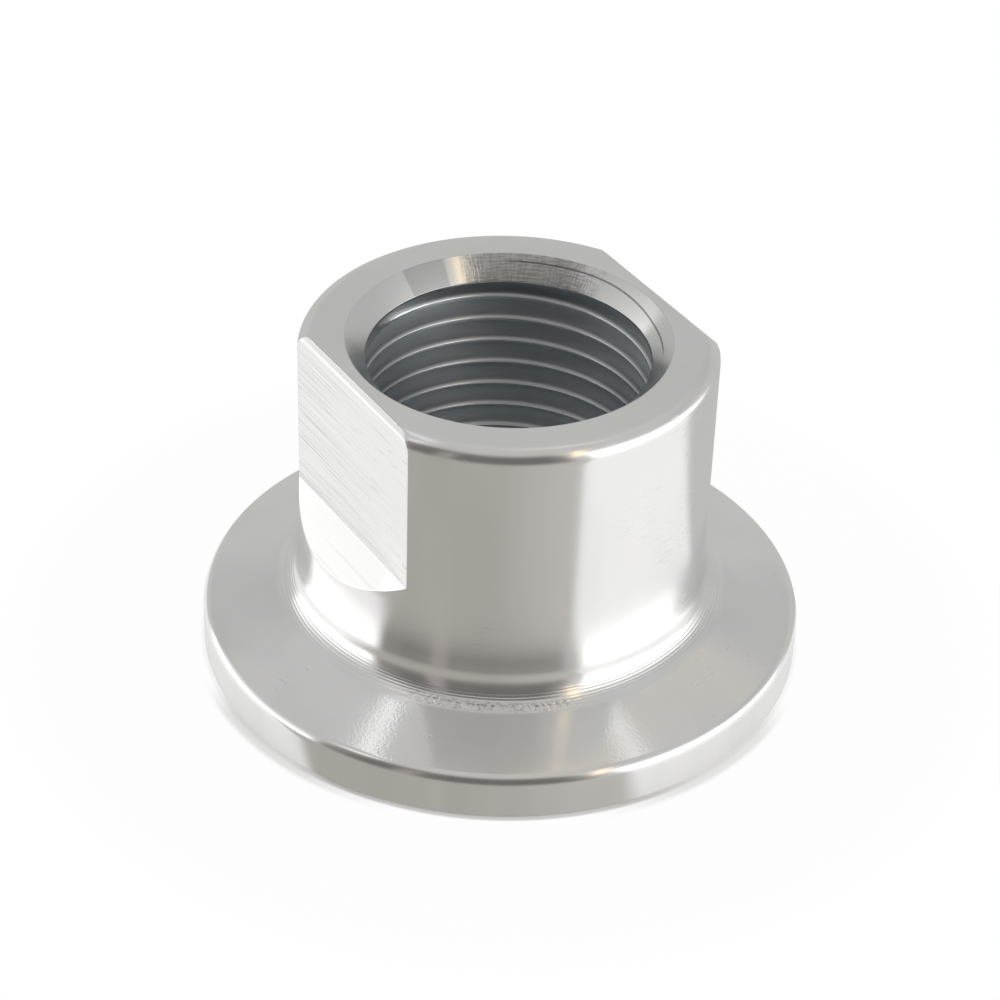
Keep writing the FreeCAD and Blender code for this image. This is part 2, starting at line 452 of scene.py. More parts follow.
# a cell between two bands takes the finish of the band that it climbs into
face_finish = row_finish[after]
flats_start, flats_end = first_row["flats"], first_row["face"]
inside_flat = on_flat[column]
slope_cell = inside_flat & (row == flats_start - 1)
flat_cell = inside_flat & (row >= flats_start) & (row < flats_end - 1)
face_finish[flat_cell] = FINISHES.index("milled")
face_finish[slope_cell] = FINISHES.index("run_out")
bevel_cell = flat_cell & (height[row, column] > BEVEL_BOTTOM - HAIR)
face_finish[bevel_cell] = FINISHES.index("run_out")
thread_cell = row >= first_row["thread"]
cell_radius = np.maximum(radius[row, column], radius[after, column])
face_finish[thread_cell & (cell_radius < BORE_R + CREST_SEEN)] = FINISHES.index("bored")
print({name: int((face_finish[real_face] == place).sum()) for place, name in enumerate(FINISHES)})

# %% Build the mesh
UV_LENGTH = 100


def skin_mesh():
    """Mesh of the merged points and kept cells. Corners that repeat the one before are left out, so a
    cell with three of its own becomes a triangle."""
    keep = new_corner[real_face]
    mesh = bpy.data.meshes.new("turned_adapter")
    mesh.vertices.add(len(kept))
    mesh.vertices.foreach_set("co", (grid.reshape(-1, 3)[kept] * MM).ravel())
    totals = keep.sum(axis=1)
    mesh.loops.add(int(totals.sum()))
    mesh.loops.foreach_set("vertex_index", corners[real_face][keep])
    mesh.polygons.add(len(totals))
    mesh.polygons.foreach_set("loop_start", np.concatenate([[0], np.cumsum(totals)[:-1]]))
    mesh.polygons.foreach_set("material_index", face_finish[real_face])
    mesh.update(calc_edges=True)
    uv = np.stack([angle[corner_rows, corner_columns], along[corner_rows, corner_columns]], axis=-1)
    layer = mesh.uv_layers.new(name="around_and_along")
    layer.data.foreach_set("uv", (uv[real_face][keep] / (FULL_TURN, UV_LENGTH)).ravel())
    mesh.shade_smooth()
    mesh.validate()
    return mesh


skin = skin_mesh()
adapter = bpy.data.objects.new("turned_adapter", skin)
bpy.context.scene.collection.objects.link(adapter)
print("points:", len(skin.vertices), "faces:", len(skin.polygons))

# %% [markdown]
# ## Edges of the flats
#
# The turned corners already have their arcs. The milled edges run across the grid, so they get theirs
# from a Bevel modifier, which only works on edges that carry a weight. A Weighted Normal modifier then
# lets the large faces decide the shading, so flats stay flat right up to the bevel.

# %% Mark the milled edges
edge_pairs = []


def mark(rows, columns):
    """Remembers the edges along a path of grid points as pairs of point numbers."""
    path = merged[np.asarray(rows), np.asarray(columns)]
    edge_pairs.append(np.stack([path[:-1], path[1:]], axis=1))


flat_columns = [np.arange(edge_columns[start], edge_columns[start + 1] + 1) for start in (0, 2)]
bevel_row = flats_start + int(np.argmax(flat_height > BEVEL_BOTTOM - HAIR))
for columns in flat_columns:
    for level in (flats_start - 1, flats_start, bevel_row, flats_end - 1):
        mark(np.full(len(columns), level), columns)
    climb = np.arange(flats_start, flats_end)
    for side in (columns[0], columns[-1]):
        mark(climb, np.full(len(climb), side))

marked = np.sort(np.vstack(edge_pairs), axis=1)
marked = marked[:, 0] * len(kept) + marked[:, 1]
edge_ends = np.zeros(len(skin.edges) * 2, np.int64)
skin.edges.foreach_get("vertices", edge_ends)
edge_ends = np.sort(edge_ends.reshape(-1, 2), axis=1)
weight = np.isin(edge_ends[:, 0] * len(kept) + edge_ends[:, 1], marked).astype(np.float32)
skin.attributes.new("bevel_weight_edge", "FLOAT", "EDGE").data.foreach_set("value", weight)
print("milled edges marked:", int(weight.sum()))

# %% Add the modifiers
edge_bevel = adapter.modifiers.new("milled_edges", "BEVEL")
edge_bevel.limit_method = "WEIGHT"
edge_bevel.width = EDGE_BREAK * MM
edge_bevel.segments = 2
edge_bevel.use_clamp_overlap = False
shading = adapter.modifiers.new("flat_faces", "WEIGHTED_NORMAL")
shading.weight = 100
print("modifiers:", [modifier.name for modifier in adapter.modifiers])

# %% [markdown]
# ## Finishes
#
# The part is bare steel all over, so outside the bore its colour hardly changes. What changes is how each
# tool left the surface: how wide it smears a reflection, which way, and the marks that break it up. Cut
# metal has fine parallel lines, and it smears a reflection across them far more than along them, which is
# what the Anisotropic socket does. Here the lines always run round the axis or along the flat, so one
# turn of it fits all. The marks are a relief of a few thousandths of a millimetre, worked out from the
# place on the part, and a Bump node turns that into a change of the normal.

# %% Wires and nodes
class Wire:
    """One output of a shader node. Sums and products of wires, or of wires and numbers, add Math nodes."""

    def __init__(self, finish, socket):
        self.finish = finish
        self.socket = socket

    def math(self, operation, first, second=0.0):
        """Adds a Math node on two wires or numbers and returns its output."""
        return self.finish.node("ShaderNodeMath", {"operation": operation}, {0: first, 1: second})

    def __add__(self, other):
        return self.math("ADD", self, other)

    def __sub__(self, other):
        return self.math("SUBTRACT", self, other)

    def __rsub__(self, other):
        return self.math("SUBTRACT", other, self)

    def __mul__(self, other):
        return self.math("MULTIPLY", self, other)

    def __abs__(self):
        return self.math("ABSOLUTE", self)

    __radd__ = __add__
    __rmul__ = __mul__


class Finish:
    """The node tree of a material or of the world."""

    def __init__(self, owner):
        self.owner = owner
        owner.use_nodes = True
        self.tree = owner.node_tree
        self.tree.nodes.clear()

    def node(self, kind, settings=None, sockets=None, output=0):
        """Adds a node, sets its settings and then its sockets, and returns one output as a wire, or
        several where a tuple of them is asked for."""
        made = self.tree.nodes.new(kind)
        for name, value in (settings or {}).items():
            setattr(made, name, value)
        for name, value in (sockets or {}).items():
            if isinstance(value, Wire):
                self.tree.links.new(value.socket, made.inputs[name])
            else:
                made.inputs[name].default_value = value
        if not made.outputs:
            return None
        if isinstance(output, tuple):
            return [Wire(self, made.outputs[name]) for name in output]
        return Wire(self, made.outputs[output])


# %% Small patterns
def ramp(finish, value, first, last):
    """Rises smoothly from 0 to 1 as the value goes from first to last, whichever way that is."""
    return finish.node(
        "ShaderNodeMapRange",
        {"interpolation_type": "SMOOTHSTEP"},
        {"Value": value, "From Min": first, "From Max": last},
    )


def mixed(finish, share, first, second):
    """Blend of two colours."""
    return finish.node("ShaderNodeMix", {"data_type": "RGBA"}, {"Factor": share, 6: first, 7: second}, 2)


def grey(level):
    """A neutral colour."""
    return (level, level, level, 1)


def noise(finish, sides, scales, detail=1.0):
    """Smooth noise about a half, over three lengths that are each times a scale of their own. A small
    scale draws the pattern out that way, and a scale of 1 gives about one swell for each unit."""
    scaled = {axis: side * scale for axis, side, scale in zip("XYZ", sides, scales)}
    vector = finish.node("ShaderNodeCombineXYZ", None, scaled)
    return finish.node("ShaderNodeTexNoise", None, {"Vector": vector, "Scale": 1.0, "Detail": detail})


SPECK_CORE = 0.3
SPECK_CUT = 0.01


def specks(finish, place, spacing, size, share):
    """Round specks: one point stands in each cell of the spacing, and a share of the points get one. A
    speck is whole out to SPECK_CORE of its size, and fades to nothing at its size."""
    cell = {"Vector": place, "Scale": 1 / spacing}
    distance, colour = finish.node("ShaderNodeTexVoronoi", None, cell, ("Distance", "Color"))
    chosen = finish.node("ShaderNodeSeparateColor", None, {0: colour})
    inside = ramp(finish, distance, size / spacing, SPECK_CORE * size / spacing)
    return inside * ramp(finish, chosen, 1 - share, 1 - share + SPECK_CUT)


# %% [markdown]
# ## Bare steel
#
# Every finish starts from the same few measures of the place on the part: its three coordinates in
# millimetres, its angle round the axis and its distance along the profile, both from the UV map. The
# finish adds up its marks as a relief in thousandths of a millimetre, and may darken or tint the metal a
# little. Anisotropy has to be the same all over a surface, so it is set on the shader itself.

# %% Steel with a finish
STEEL = (0.86, 0.86, 0.85, 1)
STEEL_PALER = (0.885, 0.875, 0.865, 1)
STEEL_DULLER = (0.835, 0.84, 0.83, 1)
# Grey for real wear from scuffs and dashes, and for painted shade in the neck's ring valleys.
WORN_AND_SHADE = grey(0.6)
MICRON = 1e-6
ACROSS_THE_LINES = 0.25
BENCH_SIDE, BENCH_REACH, BENCH_MORE = 32, (36, 16), 0.24
PATCH_SCALE, PATCH_CUT = 0.16, (0.64, 0.74)
SCUFF_EDGE = 0.08
PALER_DRIFT, DULLER_DRIFT = (0.5, 0.68), (0.5, 0.34)


class Steel(Finish):
    """One finish of the steel, with the measures of the place that its marks are made from."""

    def __init__(self, name):
        super().__init__(bpy.data.materials.new("steel_" + name))
        place = self.node("ShaderNodeTexCoord", None, None, "Object")
        self.place = self.node("ShaderNodeVectorMath", {"operation": "SCALE"}, {0: place, "Scale": 1 / MM})
        self.x, self.y, self.z = self.node("ShaderNodeSeparateXYZ", None, {0: self.place}, ("X", "Y", "Z"))
        uv = self.node("ShaderNodeUVMap", {"uv_map": "around_and_along"})
        around, along = self.node("ShaderNodeSeparateXYZ", None, {0: uv}, ("X", "Y"))
        self.around = around * FULL_TURN
        self.along = along * UV_LENGTH

    def swells(self, level, upright, detail=1.0):
        """Noise over the place itself, with one scale for the two level sides and one for the height."""
        return noise(self, (self.x, self.y, self.z), (level, level, upright), detail)

    def rings(self, slow, fast, detail=1.0):
        """Noise drawn out round the axis: slow along a ring and fast from one ring to the next."""
        return noise(self, (self.x, self.y, self.along), (slow, slow, fast), detail)

    def scuffs(self, slow, fast, cut):
        """Short scratches along the rings: drawn-out noise above a cut. Most lie in patches of a slower
        noise and on the side that was laid down on the bench."""
        bench_side = ramp(self, abs(self.around - BENCH_SIDE), *BENCH_REACH)
        patch = ramp(self, self.swells(PATCH_SCALE, PATCH_SCALE) + bench_side * BENCH_MORE, *PATCH_CUT)
        return ramp(self, self.rings(slow, fast), cut, cut + SCUFF_EDGE) * patch

    def tone(self, level, upright, share):
        """The steel's colour, a little paler or duller in broad patches."""
        drift = self.swells(level, upright)
        paler = mixed(self, ramp(self, drift, *PALER_DRIFT) * share, STEEL, STEEL_PALER)
        return mixed(self, ramp(self, drift, *DULLER_DRIFT) * share, paler, STEEL_DULLER)

    def finished(self, colour, roughness, relief, anisotropic=0.8):
        """Closes the tree: the shader with its bump, and the output."""
        normal = self.node("ShaderNodeBump", None, {"Strength": 1.0, "Distance": MICRON, "Height": relief})
        shader = self.node(
            "ShaderNodeBsdfPrincipled",
            None,
            {
                "Base Color": colour,
                "Metallic": 1.0,
                "Roughness": roughness,
                "Anisotropic": anisotropic,
                "Anisotropic Rotation": ACROSS_THE_LINES,
                "Normal": normal,
            },
        )
        self.node("ShaderNodeOutputMaterial", None, {"Surface": shader})
        print(self.owner.name, "has", len(self.tree.nodes), "nodes")
        return self.owner


finished = {}
print("the steel's own colour:", STEEL[:3])

# %% [markdown]
# ## The turned body
#
# The body is the brightest turning on the part: the rings are too fine to see, and reflections run
# straight up and down it. What shows is wear from handling. There are short scuffs along the rings,
# gathered in patches, a few dents that catch the light as dots, and a faint change of tone.

# %% Turned body
RING_HEIGHT, SWELL_HEIGHT = 0.8, 3.0
DENT_DEPTH = 9.0
TURNED_ROUGHNESS = 0.2


def lathe_relief(steel):
    """The relief that the lathe left on body and neck: fine rings, and slow swells that bend them."""
    rings = steel.rings(slow=0.12, fast=6.0)
    return rings * RING_HEIGHT + steel.swells(level=0.9, upright=0.5) * SWELL_HEIGHT


steel = Steel("turned")
scuff = steel.scuffs(slow=0.8, fast=10.0, cut=0.6)
dents = specks(steel, steel.place, spacing=1.7, size=0.13, share=0.3)
relief = lathe_relief(steel) - scuff * 3.0 - dents * DENT_DEPTH
colour = mixed(steel, scuff * 0.12, steel.tone(level=0.3, upright=0.08, share=1.0), WORN_AND_SHADE)
finished["turned"] = steel.finished(colour, TURNED_ROUGHNESS + scuff * 0.1, relief)

# %% [markdown]
# Where the neck runs out into the cone, the tool changed direction and chattered. Its rings are coarser
# there, about five to the millimetre, and on one side they are broken up into short ticks. The valleys of
# these rings and the gaps between the ticks are painted darker, as shade.

# %% Neck with its coarse rings
cone_meets_neck = float(along[first_row["neck"] - 1, 0])
print("along the profile, cone meets neck at, mm:", round(cone_meets_neck, 2))
RING_PITCH = 0.21
RING_WANDER = 8
RINGED, TICKED = (0.3, 1.75, 0.35), (0.15, 0.95, 0.2)
TICKED_AT, TICKED_REACH = -33, (26, 14)
WAVE_HEIGHT, TICK_HEIGHT = 4.5, 60


def in_window(steel, start, end, fade):
    """1 between two distances past the place where the cone meets the neck, with faded ends."""
    past = steel.along - cone_meets_neck
    return ramp(steel, past, start, start + fade) * ramp(steel, past, end, end - fade)


steel = Steel("neck")
phase = steel.along * (2 * math.pi / RING_PITCH) + steel.rings(slow=0.1, fast=1.2) * RING_WANDER
wave = phase.math("SINE", phase) * in_window(steel, *RINGED)
ticked = in_window(steel, *TICKED) * ramp(steel, abs(steel.around - TICKED_AT), *TICKED_REACH)
tick = steel.rings(slow=3.6, fast=2.2)
scuff = steel.scuffs(slow=0.9, fast=10.0, cut=0.68)
relief = lathe_relief(steel) - scuff * 1.2 + wave * WAVE_HEIGHT + tick * ticked * TICK_HEIGHT
# Painted shade: the colour goes darker in the valleys of the coarse rings and between the ticks.
valley = ramp(steel, wave, 0.0, -1.0)
between = ramp(steel, tick, 0.5, 0.36) * ticked
valley_shade = valley * 0.25 + between * 0.75
colour = mixed(steel, valley_shade, steel.tone(level=0.3, upright=0.08, share=1.0), WORN_AND_SHADE)
finished["neck"] = steel.finished(colour, TURNED_ROUGHNESS, relief)

# %% [markdown]
# ## The coned back and the top face
#
# The cone was turned with a light cut and shows a mottle about a fifth of a millimetre across, which
# breaks up any narrow reflection. There are small dashes where a chip dragged. The top face is smoother
# and softer, an even satin.

# %% Cone and top face
MOTTLE_HEIGHT = 3.6
steel = Steel("coned")
mottle = steel.swells(level=5.5, upright=5.5, detail=2.0)
rings = steel.rings(slow=0.1, fast=5.0)
dashes = steel.scuffs(slow=1.1, fast=6.5, cut=0.68)
dents = specks(steel, steel.place, spacing=2.4, size=0.14, share=0.3)
relief = mottle * MOTTLE_HEIGHT + rings * 0.5 - dashes * 3.0 - dents * DENT_DEPTH
colour = mixed(steel, (dashes + dents) * 0.4, steel.tone(level=0.25, upright=0.25, share=0.8), WORN_AND_SHADE)
finished["coned"] = steel.finished(colour, 0.12, relief, anisotropic=0.85)

steel = Steel("faced")
swells = steel.swells(level=1.2, upright=1.0)
dents = specks(steel, steel.place, spacing=3.0, size=0.1, share=0.2)
colour = steel.tone(level=0.2, upright=0.2, share=0.6)
finished["faced"] = steel.finished(colour, 0.26, swells * 3.0 - dents * 4.0)

# %% [markdown]
# ## The rim
#
# The rim's wall was turned in one quick pass. It carries soft upright bands, a few degrees wide each.

# %% Rim
steel = Steel("rim")
upright = steel.swells(level=0.42, upright=0.04, detail=2.0)
rings = steel.rings(slow=0.1, fast=6.0)
dents = specks(steel, steel.place, spacing=2.4, size=0.12, share=0.3)
colour = steel.tone(level=0.42, upright=0.04, share=1.0)
finished["rim"] = steel.finished(colour, 0.2, rings * 0.5 + upright * 4.0 - dents * 5.0)

# %% [markdown]
# ## The milled flats
#
# An end mill ran along each flat and left straight lines, one below the other. They are deepest towards
# the end where it came in. On top there are longer scratches and small pits. The bevels and run-outs came
# from the same mill and are smoother.

# %% Flats, bevels and run-outs
MILL_LINE = grey(0.42)
MILL_END = (5.0, -6.0)
MILL_LEAST = 0.25


def milled(steel, slow, fast, cut):
    """Straight lines along X: noise drawn out that way, where it rises through the cut's two levels."""
    return ramp(steel, noise(steel, (steel.x, steel.y, steel.z), (slow, slow, fast)), *cut)


steel = Steel("milled")
depth_share = MILL_LEAST + ramp(steel, steel.x, *MILL_END) * (1 - MILL_LEAST)
long_lines = milled(steel, slow=0.05, fast=6.0, cut=(0.58, 0.70))
fine_lines = milled(steel, slow=0.11, fast=13.0, cut=(0.56, 0.68))
scratches = milled(steel, slow=0.5, fast=8.0, cut=(0.68, 0.75))
pits = specks(steel, steel.place, spacing=1.2, size=0.10, share=0.3)
marks = (long_lines * 0.35 + fine_lines * 0.8) * depth_share + scratches * 0.5
colour = mixed(steel, marks * 0.6 + pits * 0.5, STEEL, MILL_LINE)
finished["milled"] = steel.finished(colour, 0.24, marks * -1.2 - pits * 5.0)

steel = Steel("run_out")
line = milled(steel, slow=0.05, fast=3.0, cut=(0.62, 0.70))
swells = steel.swells(level=0.8, upright=2.0)
pits = specks(steel, steel.place, spacing=2.0, size=0.1, share=0.3)
colour = mixed(steel, line * 0.2, STEEL, WORN_AND_SHADE)
finished["run_out"] = steel.finished(colour, 0.22, swells * 1.5 - line - pits * 4.0)

# %% [markdown]
# ## The bore
#
# The countersink was cut with a tool that chattered, so part of its narrow cone is tiled with small
# facets, and a fine groove runs round part of it where the tool dwelt. Its darker wedge and tiled stretch
# are a painted dark reflection, and the dark edges of its tiles and its dark groove are painted shade.
# The thread is coloured by its depth beyond the bored wall, as painted light and shade. Little light
# comes back out of a groove, so the flanks are painted dark. Towards the root they are painted paler, and
# the shoulders of the crests get a painted highlight. The crests carry a painted highlight too, and are
# the lightest metal of the part.

# %% Countersink
# Painted light: a darker wedge round SHADE_WEDGE_AT and a slightly darker tiled stretch are a painted dark
# reflection. The darker facet edges are painted shade on top of their real relief, and the groove's dark
# colour is painted shade in it.
DWELT_FROM, DWELT_TO, DWELT_FADE = 50, 155, 12
GROOVE_HEIGHT = 22.3
GROOVE_RISE, GROOVE_RISES = 0.29, (70, 115)
GROOVE_HALF = (0.07, 0.02)
TILED_AT, TILED_REACH, TILED_SHADE_REACH = 138, (32, 24), (24, 12)
FACET_CUT = (0.45, 0.6)
SHADE_WEDGE_AT, SHADE_WEDGE_REACH = 182, (9.5, 8)
SUNK_STEEL = (0.74, 0.74, 0.73, 1)
SUNK_SHADE = (0.47, 0.47, 0.46, 1)
SUNK_GROOVE_SHADE = grey(0.22)


def facet_lines(steel, around, upright):
    """Edges of facets: noise over the angle and the height, each with a scale of its own, above a cut."""
    return ramp(steel, noise(steel, (steel.around, steel.z, steel.z), (around, upright, 0.0)), *FACET_CUT)


steel = Steel("sunk")
dwelt = ramp(steel, steel.around, DWELT_FROM, DWELT_FROM + DWELT_FADE)
dwelt = dwelt * ramp(steel, steel.around, DWELT_TO, DWELT_TO - DWELT_FADE)
groove_at = ramp(steel, steel.around, *GROOVE_RISES) * GROOVE_RISE + GROOVE_HEIGHT
groove = ramp(steel, abs(steel.z - groove_at), *GROOVE_HALF) * dwelt
from_tiled = abs(steel.around - TILED_AT)
level_lines = facet_lines(steel, around=0.22, upright=9.0)
upright_lines = facet_lines(steel, around=1.1, upright=0.9)
facets = (level_lines * 0.6 + upright_lines * 0.5) * ramp(steel, from_tiled, *TILED_REACH)
painted_shade = ramp(steel, abs(steel.around - SHADE_WEDGE_AT), *SHADE_WEDGE_REACH)
painted_shade = painted_shade + ramp(steel, from_tiled, *TILED_SHADE_REACH) * 0.2
colour = mixed(steel, facets * 0.6 + painted_shade * 0.75, SUNK_STEEL, SUNK_SHADE)
colour = mixed(steel, groove * 0.9, colour, SUNK_GROOVE_SHADE)
finished["sunk"] = steel.finished(colour, 0.22, facets * 5.0 - groove * 4.0, anisotropic=0.75)

# %% Thread
# Painted light and shade: the flanks are painted dark as shade in the grooves, paler towards the root, and
# pale at the crests' shoulders as a painted highlight.
FLANK_SHADE, FLANK_PALER_SHADE = (0.20, 0.215, 0.23, 1), (0.26, 0.275, 0.29, 1)
DRAG_DRIFT = (0.35, 0.7)
ROOT_PAINTED_LIGHT, ROOT_FROM = (0.70, 0.75, 0.775, 1), (0.1 * THREAD_DEPTH, 0.8 * THREAD_DEPTH)
SHOULDER_HIGHLIGHT, SHOULDER_FROM = (0.74, 0.75, 0.775, 1), (0.34, 0.1)
CREST_HIGHLIGHT = (0.93, 0.94, 0.965, 1)

steel = Steel("tapped")
drag = steel.swells(level=0.5, upright=6.0, detail=2.0)
depth = steel.x.math("SQRT", steel.x * steel.x + steel.y * steel.y) - BORE_R
colour = mixed(steel, ramp(steel, drag, *DRAG_DRIFT), FLANK_SHADE, FLANK_PALER_SHADE)
colour = mixed(steel, ramp(steel, depth, *ROOT_FROM), colour, ROOT_PAINTED_LIGHT)
colour = mixed(steel, ramp(steel, depth, *SHOULDER_FROM) * 0.9, colour, SHOULDER_HIGHLIGHT)
finished["tapped"] = steel.finished(colour, 0.44, drag * 2.0, anisotropic=0.4)

# Painted highlight: the crests' colour is paler than the steel.
steel = Steel("bored")
swells = steel.swells(level=1.6, upright=3.0, detail=2.0)
finished["bored"] = steel.finished(CREST_HIGHLIGHT, 0.24, swells * 3.0, anisotropic=0.5)

# %% Give the skin its finishes
for name in FINISHES:
    skin.materials.append(finished[name])
nodes = sum(len(slot.node_tree.nodes) for slot in skin.materials)
print("finishes:", len(skin.materials), "with", nodes, "nodes")

# %% [markdown]
# ## The room
#
# Bare metal shows the room. The room here is a plain studio, worked out from the direction that a ray
# leaves in: soft grey all round, a white panel on the right whose top edge slopes, a low one on the left,
# and a darker stretch in front, where somebody with a camera would stand. Three thin slits stand high up
# behind, and the cone shows them as streaks: a light one on the left, and a light and a cream one on the
# right. A small window stands high on the left, and a warm strip runs down the edge of the right panel.
# Directions are given as azimuth, counted from the right of the picture, and elevation. Each edge is a
# pair of numbers, between which it fades.

# %% Colours of the room
ROOM_GREY = (0.58, 0.58, 0.57, 1)
ROOM_SHELF = (0.525, 0.525, 0.515, 1)
ROOM_TOP = (0.575, 0.562, 0.54, 1)
ROOM_DARK = (0.255, 0.24, 0.225, 1)
ROOM_DARKEST = (0.165, 0.157, 0.15, 1)
ROOM_GLOW = grey(0.85)
ROOM_WHITE = grey(2.0)
ROOM_WARM = (1.7, 1.4, 1.0, 1)
ROOM_PINK = (0.38, 0.34, 0.33, 1)
ROOM_SLIT = grey(1.15)
ROOM_WINDOW = grey(1.1)
ROOM_CREAM = (0.78, 0.67, 0.52, 1)
SHELF_FOOT, SHELF_TOP = (20, 30), (46, 38)
CEILING = (62, 72)
print("the room's greys, from shelf to plain:", ROOM_SHELF[0], ROOM_GREY[0])

# %% Places of the panels, patches and slits
DARK_PATCH = ((-160, -152), (-52, -59), (74, 43))
DARKEST_PATCH = ((-146, -138), (-60, -66), (60, 46), (2, 14))
PINK_PATCH = ((-127, -124), (-115, -118), (50, 40))
WINDOW_PATCH = ((-172, -168), (-152, -157), (68, 62), (51, 56))
PANEL_LEFT, PANEL_RIGHT, PANEL_TOP = (-49, -42), (60, 40), (0.06, -0.14)
PANEL_EDGE_AZIMUTH = 35
PANEL_EDGE_SLOPE = 0.92
LEFT_PANEL_BACK, LEFT_PANEL_FRONT = (142, 150), (-152, -160)
GLOW_TOP, LEFT_PANEL_TOP = (46, 20), (22, 8)
STRIP_NORMAL = Vector((-0.84, -0.485, 0.242)).normalized()
STRIP_LEFT, STRIP_RIGHT, STRIP_FOOT, STRIP_TOP = (-70, -55), (60, 0), (20, 36), (66, 56)
STRIP_HALF = (0.05, 0.03)
LEFT_SLIT, RIGHT_SLIT, CREAM_SLIT = (-13.6, -0.301), (53.9, 0.455), (-42, -0.138)
SLIT_HALF, SLIT_FOOT, SLIT_TOP = (0.022, 0.01), (40, 48), (78, 72)
BEHIND_LEFT, BEHIND_RIGHT = ((95, 100), (160, 150)), ((48, 56), (92, 84))
print("the right panel's top edge comes down to the horizon at azimuth", PANEL_EDGE_AZIMUTH)

# %% Masks for the room
world = bpy.data.worlds.new("studio")
bpy.context.scene.world = world
air = Finish(world)
direction = air.node("ShaderNodeTexCoord", None, None, "Generated")
to_picture = {"Vector": direction, "Angle": -math.radians(PICTURE_RIGHT)}
from_right = air.node("ShaderNodeVectorRotate", {"rotation_type": "Z_AXIS"}, to_picture)
east, north, upward = air.node("ShaderNodeSeparateXYZ", None, {0: from_right}, ("X", "Y", "Z"))
azimuth = north.math("ARCTAN2", north, east) * (180 / math.pi)
elevation = upward.math("ARCSINE", upward) * (180 / math.pi)


def between_azimuths(left, right):
    """Share of a stretch of the room: the product of the ramps at its two ends."""
    return ramp(air, azimuth, *left) * ramp(air, azimuth, *right)


def patch(left, right, top, foot=None):
    """Share of a patch of the room: a stretch of azimuths, times the ramps at its top and its foot."""
    share = between_azimuths(left, right) * ramp(air, elevation, *top)
    return share * ramp(air, elevation, *foot) if foot else share


def past_plane(normal):
    """How far a direction lies past a plane through the part: the two directions' dot product."""
    return air.node("ShaderNodeVectorMath", {"operation": "DOT_PRODUCT"}, {0: from_right, 1: normal}, "Value")


def slit(level_azimuth, offset, stretch):
    """A slit that a turned cone shows as one streak from the neck to the rim: it follows all directions
    whose dot product with one level direction is the offset, over a stretch of azimuths."""
    turn = math.radians(level_azimuth)
    from_middle = abs(past_plane((math.cos(turn), math.sin(turn), 0)) - offset)
    share = ramp(air, from_middle, *SLIT_HALF) * between_azimuths(*stretch)
    return share * ramp(air, elevation, *SLIT_TOP) * ramp(air, elevation, *SLIT_FOOT)


print("nodes that measure a direction:", len(world.node_tree.nodes))

# %% Paint the room
edge_turn = math.radians(PANEL_EDGE_AZIMUTH)
panel_normal = Vector((-math.sin(edge_turn), math.cos(edge_turn), 1 / PANEL_EDGE_SLOPE)).normalized()
right_panel = between_azimuths(PANEL_LEFT, PANEL_RIGHT) * ramp(air, past_plane(panel_normal), *PANEL_TOP)
on_left = ramp(air, azimuth, *LEFT_PANEL_BACK) + ramp(air, azimuth, *LEFT_PANEL_FRONT)
strip_length = patch(STRIP_LEFT, STRIP_RIGHT, STRIP_TOP, STRIP_FOOT)
warm_strip = ramp(air, abs(past_plane(STRIP_NORMAL)), *STRIP_HALF) * strip_length
shelf = ramp(air, elevation, *SHELF_FOOT) * ramp(air, elevation, *SHELF_TOP)

layers = [
    (shelf, ROOM_SHELF),
    (ramp(air, elevation, *CEILING), ROOM_TOP),
    (patch(*DARK_PATCH), ROOM_DARK),
    (patch(*DARKEST_PATCH), ROOM_DARKEST),
    (patch(*PINK_PATCH), ROOM_PINK),
    (right_panel, ROOM_WHITE),
    (on_left * ramp(air, elevation, *GLOW_TOP), ROOM_GLOW),
    (on_left * ramp(air, elevation, *LEFT_PANEL_TOP), ROOM_WHITE),
    (slit(*LEFT_SLIT, BEHIND_LEFT), ROOM_SLIT),
    (slit(*RIGHT_SLIT, BEHIND_RIGHT), ROOM_SLIT),
    (slit(*CREAM_SLIT, BEHIND_RIGHT), ROOM_CREAM),
    (patch(*WINDOW_PATCH), ROOM_WINDOW),
    (warm_strip, ROOM_WARM),
]
shade = ROOM_GREY
for share, colour in layers:
    shade = mixed(air, share, shade, colour)
background = air.node("ShaderNodeBackground", None, {"Color": shade, "Strength": 1.0})
air.node("ShaderNodeOutputWorld", None, {"Surface": background})
print("nodes in the world:", len(world.node_tree.nodes))

# %% [markdown]
# ## The floor
#
# The floor is white paper. To the camera, and to metal that mirrors it, most of it is plain white from an
# emission, and the rest is a matt white that still takes the object's shadow. The matt share is larger
# where a shadow shows: in a thin line all round the flange, strongest in front, and in a soft stretch on
# both sides. Under the part the paper is all matt, and so it is dark.
#
# A mirrored ray meets other paper. The front of the floor lies in the shade of whoever holds the camera.
# Its back edge runs straight across the picture, and its right edge slants towards the camera. Paper by
# the rim is painted a little darker, as the flange's shadow, and paper far behind the part is painted grey,
# as shade.

# %% Floor
bpy.context.scene.view_settings.view_transform = "Standard"
FLOOR_HALF = 1.5
WHITE = grey(1)
PAPER = grey(0.9)
SHADOWED_PAPER_BY_RIM = grey(0.87)
SHADED_PAPER = (0.455, 0.435, 0.405, 1)
LIGHTER_SHADE = (0.54, 0.525, 0.50, 1)
DISTANT_SHADED_PAPER = (0.57, 0.57, 0.565, 1)

